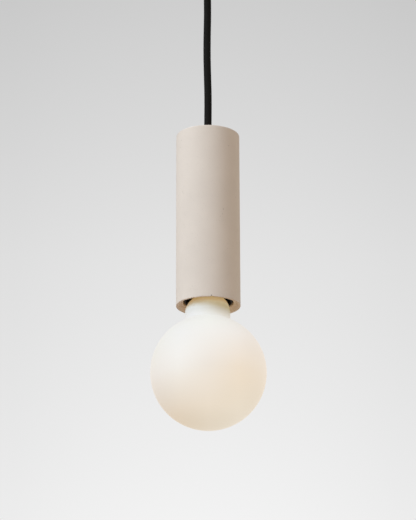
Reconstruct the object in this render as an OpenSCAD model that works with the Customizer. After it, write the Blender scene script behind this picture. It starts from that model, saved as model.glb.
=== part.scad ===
// Pendant ceiling light: a cast stone tube that holds a globe bulb and hangs on a
// textile cord from a round ceiling canopy. Millimetres, +Z up. The origin is the
// centre of the bracket's face against the ceiling, and the lamp hangs along -Z.

/* [Canopy] */
// Outer diameter of the canopy
canopy_d = 100; // [96:1:130]
// Height of the canopy
canopy_h = 28; // [28:1:40]
// Sheet thickness of the canopy
canopy_t = 1.2; // [0.8:0.1:2]
// Outside radius of the canopy's lower edge
canopy_round = 4; // [2:0.5:8]

/* [Ceiling bracket] */
// Width of the bracket's strip
bracket_w = 20; // [18:1:26]
// Sheet thickness of the bracket
bracket_t = 1.5; // [1.2:0.1:2]
// Distance between the two slots for the ceiling screws
ceiling_screw_spacing = 60; // [56:1:62]
// Width of the slots for the ceiling screws
ceiling_slot_w = 4.5; // [4:0.1:5]
// Overall length of each slot
ceiling_slot_l = 10; // [7:0.5:12]
// Diameter of the hole for the supply cable
cable_hole_d = 14; // [8:0.5:15]
// Gap between the bracket's tabs and the canopy's wall
tab_gap = 2.8; // [2:0.1:3.5]
// Length of the tabs that take the side screws
tab_h = 14; // [12.5:0.5:18]
// Width of the tabs
tab_w = 16; // [8:1:18]
// Height of the side screws under the ceiling
side_screw_drop = 9; // [7:0.5:10]
// Thread diameter of the side screws and of the earth screw
side_screw_d = 3.9; // [3:0.1:4.5]
// Head diameter of the side screws
side_head_d = 8; // [6:0.5:10]

/* [Terminal block] */
// Distance between two poles
pole_pitch = 11; // [10:0.5:12]
// Width of the block along its wires
block_w = 18; // [16:0.5:19]
// Height of the block
block_h = 15; // [12.5:0.5:16]
// Outer diameter of the brass inserts
insert_d = 6; // [5.2:0.1:6.5]
// Bore of the inserts, which takes one wire from each side
insert_bore_d = 4; // [3.2:0.1:4.4]
// Thread diameter of the block's clamping screws
clamp_screw_d = 2.5; // [2:0.1:2.6]

/* [Cord] */
// Diameter of the textile cord
cord_d = 6.4; // [5:0.1:6.6]
// Exposed height from the canopy to the tube
cord_drop = 160; // [90:1:1500]
// Diameter of one insulated lead
lead_d = 2.2; // [1.6:0.1:2.4]
// Diameter of the cord grip under the canopy
grip_d = 18; // [16:0.5:20]
// Height of the cord grip under the canopy
grip_h = 16; // [14:0.5:24]

/* [Stone tube] */
// Outer diameter of the tube
tube_d = 53.2; // [50:0.1:80]
// Length of the tube
tube_len = 151; // [120:1:200]
// Bore of the tube
tube_bore_d = 41.4; // [40.4:0.2:42]
// Thickness of the tube's closed top
tube_roof_t = 12; // [8:0.5:20]
// Easing of the tube's outer edges
tube_edge_r = 0.8; // [0.3:0.1:1.2]
// Width of the flat rim round the tube's mouth
tube_rim_w = 0.6; // [0.4:0.1:1.2]
// Height of the bevel between that rim and the bore
tube_bevel_h = 3; // [2:0.1:4]
// Easing of the edge between the bevel and the bore
tube_lip_r = 1.2; // [0.5:0.1:2]

/* [Hanging stem] */
// Thread diameter of the hollow stem
stem_d = 10; // [9.6:0.1:11]
// Bore of the hollow stem
stem_bore_d = 7.2; // [6.8:0.1:7.6]
// Pitch of the stem's thread
stem_pitch = 1; // [0.75:0.05:1.5]
// Length of stem that stands out of the tube's top
stem_stand = 3.5; // [2:0.1:5]
// Height of the bush on top of the tube
bush_h = 6.5; // [6:0.1:7]
// Diameter of the bush on top of the tube
bush_d = 15; // [13.5:0.5:18]
// Diameter of the washers under the tube's roof
washer_d = 30; // [22:1:36]
// Thickness of the rubber washer
rubber_t = 2; // [1:0.1:3]
// Thickness of the steel washer
washer_t = 1.5; // [1:0.1:3]
// Width across the flats of the stem's nuts
nut_af = 14; // [13:0.5:17]
// Thickness of the nut that carries the tube
nut_t = 5; // [3:0.5:8]
// Thickness of the two thin nuts
thin_nut_t = 3; // [2:0.5:4]

/* [Lampholder] */
// Outer diameter of the lampholder
holder_d = 39.6; // [38:0.2:40]
// Height of the skirt's rim above the tube's lower face
holder_recess = 3.5; // [1:0.5:5]
// Wall of the skirt at its rim
skirt_wall = 1.4; // [1.2:0.1:2.4]
// Height of the insulator's seat above the tube's lower face
seat_h = 37; // [36.8:0.1:45]
// Thickness of the porcelain insulator
insulator_t = 7; // [5:0.5:8]
// Clear inside diameter of the screw shell
shell_bore_d = 26.7; // [26.6:0.1:26.9]
// Sheet thickness of the screw shell
shell_t = 0.45; // [0.3:0.05:0.6]
// Diameter of the collar that stops the cord
stop_d = 13; // [11:0.5:14]
// Height of the collar that stops the cord
stop_h = 6; // [4:0.5:6.5]

/* [Bulb] */
// Diameter of the globe
globe_d = 95; // [60:1:125]
// Distance from the tube's lower face down to the globe's centre
globe_drop = 56.8; // [56.8:0.1:90]
// Outer diameter of the bulb's neck
neck_d = 37.2; // [34:0.2:38]
// Distance from the tube's lower face down to the neck's shoulder
shoulder_drop = 6.5; // [6:0.5:9]
// Wall of the glass
glass_t = 1; // [0.6:0.1:1.4]
// Crest diameter of the cap's thread
cap_d = 26.2; // [25.8:0.1:26.3]
// Pitch of the cap's thread
cap_pitch = 3.629; // [3.4:0.01:3.7]
// Height of the cap
cap_h = 27; // [26:0.1:27.2]
// Distance from the insulator's seat down to the cap's contact
contact_drop = 3.8; // [3.6:0.1:5]
// Diameter of the light filaments
filament_d = 1.8; // [1:0.1:2.4]

/* [Hidden] */

// Running clearance of screws, nuts and bushes on their threads, on the radius
thread_gap = 0.05;
// Clearance of a loose hole round a thread or a cord, on the radius
loose_gap = 0.2;
// Air gap between faces that meet without touching
air = 0.3;
$fn = 96;

// Heights, all measured from the ceiling
canopy_z = -canopy_h;
floor_z = canopy_z + canopy_t;
grip_z = canopy_z - grip_h;
tube_top_z = canopy_z - cord_drop;
mouth_z = tube_top_z - tube_len;
roof_z = tube_top_z - tube_roof_t;

// Ceiling bracket and canopy
canopy_r = canopy_d / 2;
tab_x = canopy_r - canopy_t - tab_gap;
wing_w = 3 * pole_pitch + 1;
block_l = 3 * pole_pitch;
block_y = bracket_w / 2 + 1 + block_w / 2;
wing_y = block_y + block_w / 2 + 1;
block_top_z = -bracket_t;
pole_z = block_top_z - block_h / 2;
insert_l = block_w - 2;
insert_web = 1;
clamp_y = insert_l / 2 - 3;
clamp_head_h = 1.6;
block_screw_d = 3;
block_head_h = 2;
earth_x = -16;
earth_washer_t = 0.8;
earth_lug_t = 0.8;
earth_head_h = 2.4;

// Cord grip under the canopy
grip_neck_l = 8;
grip_round = 1;
mouth_flare_h = 3;
mouth_flare_top_r = cord_d / 2 + 0.9;
mouth_flare_r = cord_d / 2 + 3.5;
grip_screw_z = canopy_z - 5;
grip_screw_d = 3.9;
thread_depth = stem_pitch * 0.3;

// The cord swings about this point, inside the grip's flared mouth
pivot_z = grip_z + mouth_flare_h;
cord_half_gap = cord_d / 2 - 0.1;
cord_end_top_z = canopy_z + 11;
CORD_SIDES = 12;

// Hanging stem and what sits on it
stem_top_z = tube_top_z + stem_stand;
rubber_z = roof_z - rubber_t;
washer_z = rubber_z - washer_t;
nut_z = washer_z - nut_t;
thread_l = 14;

// Lampholder, measured up from the tube's mouth
holder_r = holder_d / 2;
rim_z = mouth_z + holder_recess;
guard_rise = 14;
guard_z = mouth_z + guard_rise;
guard_r = shell_bore_d / 2 + 2.25;
seat_z = mouth_z + seat_h;
insulator_top_z = seat_z + insulator_t;
spigot_z = seat_z + 3;
spigot_top_z = insulator_top_z + 2;
spigot_r = holder_r - 1.4;
insulator_r = spigot_r - 1.5;
shoulder_z = insulator_top_z + 7;
dome_z = shoulder_z + 8;
neck_top_z = dome_z + 7;
holder_neck_r = stem_d / 2 + 3.5;
stem_low_z = dome_z - 0.8;
stop_top_z = stem_low_z - air;
stop_z = stop_top_z - stop_h;
lock_nut_z = neck_top_z;
terminal_x = 10;
terminal_size = [6, 7, 6];
terminal_screw_d = 2.6;
terminal_lead_z = insulator_top_z + 3;
lead_off = 1.2;

// Route of the cord, each point as [x, height]: the first ones are measured up from
// the cord's lower end, under its stop, and the others from the grip's mouth
cord_low_z = stop_z - 1.4;
CORD_LOW = [[0, 0], [0, 14], [0, 28]];
CORD_HIGH = [
    [0.1, -136], [0.2, -126], [0.3, -116], [0.3, -108], [0.2, -100], [0, -92], [-0.2, -82],
    [-0.4, -72], [-0.4, -62], [-0.3, -52], [-0.1, -42], [0.1, -32], [0.1, -22], [0, -11], [0, 0]
];

// Screw shell and its contacts
shell_low_z = mouth_z + 10;
shell_flange_t = 0.6;
shell_turns = 6;
thread_amp = 0.45;
shell_r = shell_bore_d / 2;
shell_flange_r = shell_r + 2.1;
rivet_r = 0.6;
rivet_ring_r = shell_r + 1.15;
rivet_head_h = 0.5;
contact_w = 5;
contact_t = 0.6;

// Bulb, measured from the tube's mouth
globe_r = globe_d / 2;
neck_r = neck_d / 2;
globe_z = mouth_z - globe_drop;
tip_z = seat_z - contact_drop;
cap_rim_z = tip_z - cap_h;
cap_r = cap_d / 2;
cap_sheet = 0.35;
cap_turns = 5;
cap_thread_z = cap_rim_z + 3.2;
cap_thread_top_z = cap_thread_z + cap_turns * cap_pitch;
collar_r = cap_r - 0.6;
shoulder_z0 = mouth_z - shoulder_drop;
shoulder_rise = 13.6;
shoulder_end_r = 8.5;
shoulder_run = neck_r - shoulder_end_r;
tip_r = 5;
tip_t = 2;
bulb_stem_top_z = cap_rim_z + 1.6;
bulb_pinch_h = 13;
bulb_flare_h = 6;
bulb_rod_r = 2.2;
bulb_rod_drop = 38;
bulb_rod_z = mouth_z - bulb_rod_drop;
filament_top = [3.6, -42];
filament_low = [13, -76];
wire_r = 0.35;
board_t = 1.6;
board_h = 15;

// Colours
STONE = [0.82, 0.78, 0.74];
BLACK = [0.06, 0.06, 0.06];
CLOTH = [0.09, 0.09, 0.09];
STEEL = [0.66, 0.67, 0.68];
BRASS = [0.78, 0.62, 0.32];
PORCELAIN = [0.9, 0.89, 0.86];
OPAL = [0.95, 0.94, 0.91];
BROWN = [0.36, 0.2, 0.1];
BLUE = [0.15, 0.3, 0.65];
EARTH = [0.35, 0.6, 0.2];

// Points of an arc about [cx, cy] from angle a0 to a1
function arc(cx, cy, r, a0, a1, n) =
    [for (i = [0:n]) let (a = a0 + (a1 - a0) * i / n) [cx + r * cos(a), cy + r * sin(a)]];

// Points of a rounded thread form, whole turns upwards from z
function rounded_thread(r, amp, z, pitch, turns, steps = 6) =
    [for (i = [0:turns * steps]) [r + amp * cos(360 * i / steps), z + i * pitch / steps]];

// Points of a sharp thread form on a shaft of radius r, upwards from z
function sharp_thread(r, depth, z, pitch, turns) =
    [for (i = [0:turns - 1], p = [0, 1]) [r - depth * p, z + (i + p / 2) * pitch]];

function reversed(pts) = [for (i = [len(pts) - 1:-1:0]) pts[i]];

function unit(v) = v / norm(v);

// Direction of a route at point i
function along(route, i) =
    let (n = len(route)) unit(route[min(i + 1, n - 1)] - route[max(i - 1, 0)]);

// A ring of points round route point i, square to the route
function ring_at(route, i, r, sides, across) =
    let (
        t = along(route, i),
        side = unit(cross(across, t)),
        up = cross(t, side)
    )
    [for (k = [0:sides - 1])
        route[i] + r * (side * cos(360 * k / sides) + up * sin(360 * k / sides))];

// A round tube swept along a route of [x, y, z] points, which never runs along across
module sweep(route, r, sides, across) {
    n = len(route);
    points = [for (i = [0:n - 1]) each ring_at(route, i, r, sides, across)];
    walls = [for (i = [0:n - 2], k = [0:sides - 1])
        let (a = i * sides + k, b = i * sides + (k + 1) % sides)
        each [[a, a + sides, b + sides], [a, b + sides, b]]];
    low = [for (k = [0:sides - 1]) k];
    high = [for (k = [sides - 1:-1:0]) (n - 1) * sides + k];
    polyhedron(points, concat(walls, [low, high]), convexity = 4);
}

// A round rod from p to q
module rod(p, q, r) {
    v = q - p;
    translate(p)
        rotate([0, acos(v[2] / norm(v)), atan2(v[1], v[0])])
            cylinder(h = norm(v), r = r, $fn = 24);
}

// A hexagon nut on the stem, its lower face at z
module nut(z, t) {
    translate([0, 0, z])
        difference() {
            intersection() {
                cylinder(h = t, d = nut_af / cos(30), $fn = 6);
                rotate_extrude()
                    polygon([[0, 0], [nut_af / 2, 0], [nut_af / 2 + 0.6, 0.5],
                             [nut_af / 2 + 0.6, t - 0.5], [nut_af / 2, t], [0, t]]);
            }
            translate([0, 0, -1])
                cylinder(h = t + 2, r = stem_d / 2 + thread_gap);
        }
}

// A flat washer about the axis, its lower face at z
module washer(z, t, outer_d, inner_d) {
    translate([0, 0, z])
        difference() {
            cylinder(h = t, d = outer_d);
            translate([0, 0, -1])
                cylinder(h = t + 2, d = inner_d);
        }
}

// A slotted screw head with its flat side up at the origin and the slot below
module slotted_head(r, h) {
    difference() {
        translate([0, 0, -h])
            cylinder(h = h, r = r);
        translate([-r - 1, -0.4, -h - 1])
            cube([2 * r + 2, 0.8, 1 + h * 0.4]);
    }
}

// Ceiling bracket ------------------------------------------------------------

module ceiling_slot(x) {
    run = (ceiling_slot_l - ceiling_slot_w) / 2;
    for (dx = [-run, run])
        translate([x + dx, 0, -bracket_t - 1])
            cylinder(h = bracket_t + 2, d = ceiling_slot_w);
    translate([x - run, -ceiling_slot_w / 2, -bracket_t - 1])
        cube([2 * run, ceiling_slot_w, bracket_t + 2]);
}

module ceiling_bracket() {
    color(STEEL)
        difference() {
            union() {
                translate([-tab_x, -bracket_w / 2, -bracket_t])
                    cube([2 * tab_x, bracket_w, bracket_t]);
                translate([-wing_w / 2, 0, -bracket_t])
                    cube([wing_w, wing_y, bracket_t]);
                for (s = [-1, 1])
                    translate([s * (tab_x - bracket_t / 2) - bracket_t / 2, -tab_w / 2, -tab_h])
                        cube([bracket_t, tab_w, tab_h]);
            }
            translate([0, 0, -bracket_t - 1])
                cylinder(h = bracket_t + 2, d = cable_hole_d);
            for (s = [-1, 1])
                ceiling_slot(s * ceiling_screw_spacing / 2);
            for (s = [-1, 1])
                translate([s * (tab_x - bracket_t - 1), 0, -side_screw_drop])
                    rotate([0, s * 90, 0])
                        cylinder(h = bracket_t + 2, r = side_screw_d / 2 + thread_gap);
            translate([earth_x, 0, -bracket_t - 1])
                cylinder(h = bracket_t + 2, r = side_screw_d / 2 + thread_gap);
            for (s = [-1, 1])
                translate([s * pole_pitch / 2, block_y, -bracket_t - 1])
                    cylinder(h = bracket_t + 2, r = block_screw_d / 2 + thread_gap);
        }
}

// Canopy ---------------------------------------------------------------------

module canopy() {
    inner_round = max(canopy_round - canopy_t, 0.5);
    color(BLACK)
        difference() {
            rotate_extrude($fn = 180)
                polygon(concat(
                    [[stem_d / 2 + loose_gap, floor_z], [stem_d / 2 + loose_gap, canopy_z]],
                    arc(canopy_r - canopy_round, canopy_z + canopy_round, canopy_round, -90, 0, 8),
                    [[canopy_r, 0], [canopy_r - canopy_t, 0]],
                    arc(canopy_r - canopy_t - inner_round, floor_z + inner_round,
                        inner_round, 0, -90, 8)
                ));
            for (s = [-1, 1])
                translate([s * (canopy_r - canopy_t - 1), 0, -side_screw_drop])
                    rotate([0, s * 90, 0])
                        cylinder(h = canopy_t + 2, r = side_screw_d / 2 + loose_gap);
        }
}

module canopy_screws() {
    color(BLACK)
        for (s = [-1, 1])
            translate([s * canopy_r, 0, -side_screw_drop])
                rotate([0, -s * 90, 0]) {
                    cylinder(h = canopy_t + tab_gap + bracket_t + 1.5, d = side_screw_d);
                    slotted_head(side_head_d / 2, 2.6);
                }
}

// Terminal block -------------------------------------------------------------

// Places its children at each pole of the terminal block
module at_poles() {
    for (i = [-1:1])
        translate([i * pole_pitch, block_y, pole_z])
            children();
}

module terminal_block() {
    color(PORCELAIN)
        difference() {
            translate([-block_l / 2, block_y - block_w / 2, block_top_z - block_h])
                cube([block_l, block_w, block_h]);
            at_poles() {
                rotate([90, 0, 0])
                    cylinder(h = block_w + 2, r = insert_d / 2 + thread_gap, center = true);
                for (s = [-1, 1])
                    translate([0, s * clamp_y, -block_h])
                        cylinder(h = block_h, r = clamp_screw_d / 2 + 0.7);
            }
            for (s = [-1, 1])
                translate([s * pole_pitch / 2, block_y, block_top_z - block_h - 1])
                    cylinder(h = block_h + 2, r = block_screw_d / 2 + thread_gap);
        }
}

module terminal_inserts() {
    color(BRASS)
        at_poles()
            difference() {
                rotate([90, 0, 0])
                    cylinder(h = insert_l, d = insert_d, center = true);
                for (s = [-1, 1])
                    translate([0, s * insert_web / 2, 0])
                        rotate([-s * 90, 0, 0])
                            cylinder(h = insert_l, d = insert_bore_d);
                for (s = [-1, 1])
                    translate([0, s * clamp_y, -insert_d])
                        cylinder(h = insert_d, r = clamp_screw_d / 2 + thread_gap);
            }
}

// The screws on the supply side stand clear of the bore, and those on the lamp's
// side are run home on its leads
module terminal_screws() {
    head_z = -block_h / 2 + 1 + clamp_head_h;
    color(STEEL)
        at_poles()
            for (s = [-1, 1]) {
                tip = s > 0 ? -insert_bore_d / 2 - 0.1 : -lead_d / 2 - thread_gap;
                translate([0, s * clamp_y, head_z]) {
                    cylinder(h = tip - head_z, d = clamp_screw_d);
                    slotted_head(clamp_screw_d / 2 + 0.5, clamp_head_h);
                }
            }
}

module terminal_block_screws() {
    color(STEEL)
        for (s = [-1, 1])
            translate([s * pole_pitch / 2, block_y, block_top_z - block_h]) {
                cylinder(h = block_h + bracket_t - 0.2, d = block_screw_d);
                slotted_head(block_screw_d / 2 + 1.2, block_head_h);
            }
}

module earth_screw() {
    under = bracket_t + earth_washer_t + earth_lug_t;
    color(BRASS)
        translate([earth_x, 0, -under]) {
            cylinder(h = under - 0.2, d = side_screw_d);
            slotted_head(side_screw_d / 2 + 1.5, earth_head_h);
        }
}

module earth_washer() {
    color(STEEL)
        translate([earth_x, 0, 0])
            washer(-bracket_t - earth_washer_t, earth_washer_t,
                   side_screw_d + 5, side_screw_d + 2 * loose_gap);
}

// Leads ----------------------------------------------------------------------

module earth_lead() {
    lug_z = -bracket_t - earth_washer_t - earth_lug_t;
    wire_z = lug_z - lead_d / 2 + 0.3;
    clamp_end = block_y - clamp_y;
    color(EARTH) {
        translate([earth_x, 0, 0])
            washer(lug_z, earth_lug_t, side_screw_d + 4, side_screw_d + 2 * loose_gap);
        translate([earth_x - 1.2, side_screw_d / 2 + 1.5, lug_z])
            cube([2.4, 4, earth_lug_t]);
        sweep([[earth_x, 5, wire_z], [earth_x, 7.5, wire_z - 0.6], [earth_x + 1.4, 9, pole_z + 3],
               [-pole_pitch - 0.9, 9.8, pole_z + 0.6], [-pole_pitch, 12, pole_z],
               [-pole_pitch, clamp_end, pole_z]], lead_d / 2, 8, [1, 0, 0]);
    }
}

// A lead from the cord's end to the pole at x
module upper_lead(x, off) {
    top = cord_end_top_z;
    clamp_end = block_y - clamp_y;
    sweep([[off, 0, top], [off, 0, top + 1.2], [off + (x - off) * 0.15, 2, (top + pole_z) / 2 + 0.6],
           [off + (x - off) * 0.6, 5, pole_z - 0.8], [x, 9.5, pole_z], [x, clamp_end, pole_z]],
          lead_d / 2, 8, [1, 0, 0]);
}

module upper_live_lead() {
    color(BROWN)
        upper_lead(pole_pitch, lead_off);
}

module upper_neutral_lead() {
    color(BLUE)
        upper_lead(0, -lead_off);
}

// A lead from the cord's end to the lampholder's terminal on the side s
module lower_lead(s) {
    top = cord_low_z;
    sweep([[s * lead_off, 0, top], [s * lead_off, 0, top - 0.8],
           [s * 3.2, 0, terminal_lead_z + 0.4], [s * 5.4, 0, terminal_lead_z],
           [s * (terminal_x - 0.5), 0, terminal_lead_z]], lead_d / 2, 8, [0, 1, 0]);
}

module lower_live_lead() {
    color(BROWN)
        lower_lead(-1);
}

module lower_neutral_lead() {
    color(BLUE)
        lower_lead(1);
}

// Cord grip ------------------------------------------------------------------

module cord_grip() {
    neck_r = stem_d / 2;
    bore_r = cord_d / 2 + 0.1;
    grip_r = grip_d / 2;
    turns = floor((grip_neck_l - canopy_t - 1) / stem_pitch);
    thread_z = floor_z + 0.4;
    color(BLACK)
        difference() {
            rotate_extrude()
                polygon(concat(
                    [[mouth_flare_r, grip_z]],
                    arc(grip_r - grip_round, grip_z + grip_round, grip_round, -90, 0, 4),
                    arc(grip_r - grip_round, canopy_z - grip_round, grip_round, 0, 90, 4),
                    [[neck_r, canopy_z]],
                    sharp_thread(neck_r, thread_depth, thread_z, stem_pitch, turns),
                    [[neck_r - 0.5, canopy_z + grip_neck_l], [bore_r, canopy_z + grip_neck_l],
                     [bore_r, pivot_z], [mouth_flare_top_r, pivot_z]]
                ));
            translate([0, 0, grip_screw_z])
                rotate([0, 90, 0])
                    cylinder(h = grip_d, r = grip_screw_d / 2 + thread_gap);
        }
}

module cord_grip_nut() {
    color(STEEL)
        nut(floor_z, thin_nut_t);
}

module cord_grip_screw() {
    inner = cord_d / 2 + thread_gap;
    length = grip_d / 2 - inner - 0.4;
    color(PORCELAIN)
        translate([inner, 0, grip_screw_z])
            rotate([0, 90, 0])
                difference() {
                    cylinder(h = length, d = grip_screw_d);
                    translate([-grip_screw_d, -0.4, length - 1])
                        cube([2 * grip_screw_d, 0.8, 2]);
                }
}

// Cord -----------------------------------------------------------------------

module cord_end() {
    color(CLOTH)
        translate([0, 0, pivot_z + cord_half_gap])
            cylinder(h = cord_end_top_z - pivot_z - cord_half_gap, d = cord_d);
}

// The short stretch that bends when the lamp swings
module cord_bend() {
    color(CLOTH)
        translate([0, 0, pivot_z])
            sphere(r = cord_half_gap - 0.2, $fn = 48);
}

module cord() {
    route = concat([for (p = CORD_LOW) [p[0], 0, cord_low_z + p[1]]],
                   [for (p = CORD_HIGH) [p[0], 0, grip_z + p[1]]]);
    color(CLOTH)
        sweep(route, cord_d / 2, CORD_SIDES, [0, 1, 0]);
}

// Tube and stem --------------------------------------------------------------

module top_bush() {
    hole_r = cord_d / 2 + loose_gap + 0.1;
    bush_r = bush_d / 2;
    crown_r = bush_r * 0.42;
    color(BLACK)
        rotate_extrude()
            polygon(concat(
                [[stem_d / 2 + thread_gap, tube_top_z], [bush_r, tube_top_z],
                 [bush_r, tube_top_z + bush_h - crown_r]],
                arc(bush_r - crown_r, tube_top_z + bush_h - crown_r, crown_r, 0, 90, 8),
                [[hole_r + 0.4, tube_top_z + bush_h], [hole_r, tube_top_z + bush_h - 0.4],
                 [hole_r, stem_top_z + 0.2], [stem_d / 2 + thread_gap, stem_top_z + 0.2]]
            ));
}

module stone_tube() {
    r = tube_d / 2;
    bore_r = tube_bore_d / 2;
    hole_r = stem_d / 2 + air;
    e = tube_edge_r;
    rim_inner_r = r - e - tube_rim_w;
    bevel_a = atan2(tube_bevel_h, rim_inner_r - bore_r);
    lip_z = mouth_z + tube_bevel_h + tube_lip_r * tan((90 - bevel_a) / 2);
    corner = 2;
    color(STONE)
        rotate_extrude($fn = 180)
            polygon(concat(
                [[hole_r, tube_top_z]],
                reversed(arc(r - e, tube_top_z - e, e, 0, 90, 5)),
                reversed(arc(r - e, mouth_z + e, e, -90, 0, 5)),
                [[rim_inner_r, mouth_z]],
                reversed(arc(bore_r + tube_lip_r, lip_z, tube_lip_r, 180, 270 - bevel_a, 8)),
                arc(bore_r - corner, roof_z - corner, corner, 0, 90, 5),
                [[hole_r, roof_z]]
            ));
}

module rubber_washer() {
    color(BLACK)
        washer(rubber_z, rubber_t, washer_d, stem_d + 2 * loose_gap);
}

module steel_washer() {
    color(STEEL)
        washer(washer_z, washer_t, washer_d, stem_d + 2 * loose_gap);
}

module stem_nut() {
    color(STEEL)
        nut(nut_z, nut_t);
}

// A tube with a thread at each end
module hollow_stem() {
    r = stem_d / 2;
    bore_r = stem_bore_d / 2;
    turns = floor(thread_l / stem_pitch);
    top_turns = floor((stem_top_z - nut_z) / stem_pitch);
    color(STEEL)
        rotate_extrude()
            polygon(concat(
                [[bore_r, stem_low_z]],
                sharp_thread(r, thread_depth, stem_low_z, stem_pitch, turns),
                [[r, stem_low_z + turns * stem_pitch]],
                sharp_thread(r, thread_depth, stem_top_z - top_turns * stem_pitch,
                             stem_pitch, top_turns),
                [[r - thread_depth, stem_top_z], [bore_r, stem_top_z]]
            ));
}

// Lampholder -----------------------------------------------------------------

module holder_lock_nut() {
    color(STEEL)
        nut(lock_nut_z, thin_nut_t);
}

module holder_lock_screw() {
    inner = stem_d / 2 + thread_gap;
    color(STEEL)
        translate([inner, 0, dome_z + 3.5])
            rotate([0, 90, 0])
                cylinder(h = holder_neck_r - inner, r = 1.45);
}

module cord_stop() {
    color(PORCELAIN)
        difference() {
            washer(stop_z, stop_h, stop_d, cord_d + 2 * thread_gap);
            translate([0, 0, stop_z + stop_h / 2])
                rotate([90, 0, 0])
                    cylinder(h = stop_d, r = 1.5);
        }
}

module cord_stop_screw() {
    inner = cord_d / 2 + thread_gap;
    color(STEEL)
        translate([0, -inner, stop_z + stop_h / 2])
            rotate([90, 0, 0])
                cylinder(h = stop_d / 2 - inner, r = 1.45);
}

module lampholder_cap() {
    top_r = stem_d / 2 + thread_gap;
    color(BLACK)
        difference() {
            rotate_extrude()
                polygon(concat(
                    [[spigot_r + 0.1, spigot_z], [holder_r, spigot_z]],
                    arc(holder_r - 3, shoulder_z - 1, 3, 0, 50, 5),
                    [[holder_neck_r + 1.5, dome_z + 1], [holder_neck_r, dome_z + 2.2],
                     [holder_neck_r, neck_top_z], [top_r, neck_top_z], [top_r, dome_z - 1],
                     [stop_d / 2 + 1, dome_z - 1], [holder_r - 4, shoulder_z - 1],
                     [holder_r - 2.6, shoulder_z - 2.5],
                     [holder_r - 2.6, spigot_top_z + 0.2], [spigot_r + 0.1, spigot_top_z + 0.2]]
                ));
            translate([0, 0, dome_z + 3.5])
                rotate([0, 90, 0])
                    cylinder(h = holder_d, r = 1.5);
        }
}

module lampholder_skirt() {
    rim_r = holder_r - skirt_wall;
    color(BLACK)
        rotate_extrude()
            polygon(concat(
                [[rim_r, rim_z + 0.8], [rim_r + 0.4, rim_z]],
                arc(holder_r - 0.8, rim_z + 0.8, 0.8, -90, 0, 4),
                [[holder_r, spigot_z - 0.1], [spigot_r, spigot_z - 0.1], [spigot_r, spigot_top_z],
                 [insulator_r + 0.1, spigot_top_z], [insulator_r + 0.1, seat_z],
                 [guard_r, seat_z], [guard_r, guard_z + 2], [rim_r, guard_z]]
            ));
}

module holder_insulator() {
    color(PORCELAIN)
        difference() {
            translate([0, 0, seat_z])
                cylinder(h = insulator_t, r = insulator_r);
            for (a = [0, 120, 240])
                rotate([0, 0, a])
                    translate([rivet_ring_r, 0, seat_z - 1])
                        cylinder(h = insulator_t + 2, r = rivet_r + thread_gap);
            translate([-terminal_x, 0, seat_z - 1])
                cylinder(h = insulator_t + 2, r = 1.25);
        }
}

// A threaded sleeve with a flange, riveted under the insulator
module screw_shell() {
    pitch = cap_pitch;
    thread_z = shell_low_z + 1;
    inner = rounded_thread(shell_r + thread_amp, thread_amp, thread_z, pitch, shell_turns);
    outer = [for (p = inner) [p[0] + shell_t, p[1]]];
    top_r = shell_r + 2 * thread_amp;
    color(BRASS)
        difference() {
            rotate_extrude()
                polygon(concat(
                    [[top_r + shell_t, shell_low_z]],
                    outer,
                    [[shell_r + shell_t, seat_z - shell_flange_t],
                     [shell_flange_r, seat_z - shell_flange_t],
                     [shell_flange_r, seat_z], [shell_r, seat_z]],
                    reversed(inner),
                    [[top_r, shell_low_z]]
                ));
            for (a = [0, 120, 240])
                rotate([0, 0, a])
                    translate([rivet_ring_r, 0, seat_z - shell_flange_t - 1])
                        cylinder(h = shell_flange_t + 2, r = rivet_r + thread_gap);
        }
}

module shell_rivets() {
    under = seat_z - shell_flange_t;
    color(BRASS)
        for (a = [0, 120, 240])
            rotate([0, 0, a])
                translate([rivet_ring_r, 0, under]) {
                    cylinder(h = insulator_top_z - under + rivet_head_h, r = rivet_r);
                    translate([0, 0, insulator_top_z - under])
                        cylinder(h = rivet_head_h, r = rivet_r + 0.5);
                }
}

// A sprung strip that meets the bulb's tip, riveted through the insulator
module centre_contact() {
    low = tip_z + 0.1;
    high = seat_z;
    t = contact_t;
    color(BRASS) {
        rotate([90, 0, 0])
            linear_extrude(height = contact_w, center = true)
                polygon([[-terminal_x - 1.5, high], [-6.2, high], [-1.4, low + t], [1.6, low + t],
                         [3.2, low + t + 0.8], [3.6, low + t + 0.3], [1.8, low], [-1.6, low],
                         [-6.6, high - t], [-terminal_x - 1.5, high - t]]);
        translate([-terminal_x, 0, high - t])
            cylinder(h = insulator_t + t, r = 1.2);
    }
}

module holder_terminals() {
    color(BRASS)
        for (s = [-1, 1])
            translate([s * terminal_x, 0, insulator_top_z])
                difference() {
                    translate([-terminal_size[0] / 2, -terminal_size[1] / 2, 0])
                        cube(terminal_size);
                    translate([-s * terminal_size[0], 0, terminal_lead_z - insulator_top_z])
                        rotate([0, s * 90, 0])
                            cylinder(h = terminal_size[0] + 1.6, r = 1.4);
                    translate([0, 0, terminal_lead_z - insulator_top_z])
                        cylinder(h = terminal_size[2], r = terminal_screw_d / 2 + thread_gap);
                }
}

module holder_terminal_screws() {
    head_z = insulator_top_z + terminal_size[2];
    tip = terminal_lead_z + lead_d / 2 + thread_gap;
    color(STEEL)
        for (s = [-1, 1])
            translate([s * terminal_x, 0, 0]) {
                translate([0, 0, tip])
                    cylinder(h = head_z - tip + 0.1, d = terminal_screw_d);
                translate([0, 0, head_z])
                    rotate([180, 0, 0])
                        slotted_head(terminal_screw_d / 2 + 0.9, 1.2);
            }
}

// Bulb -----------------------------------------------------------------------

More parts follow.
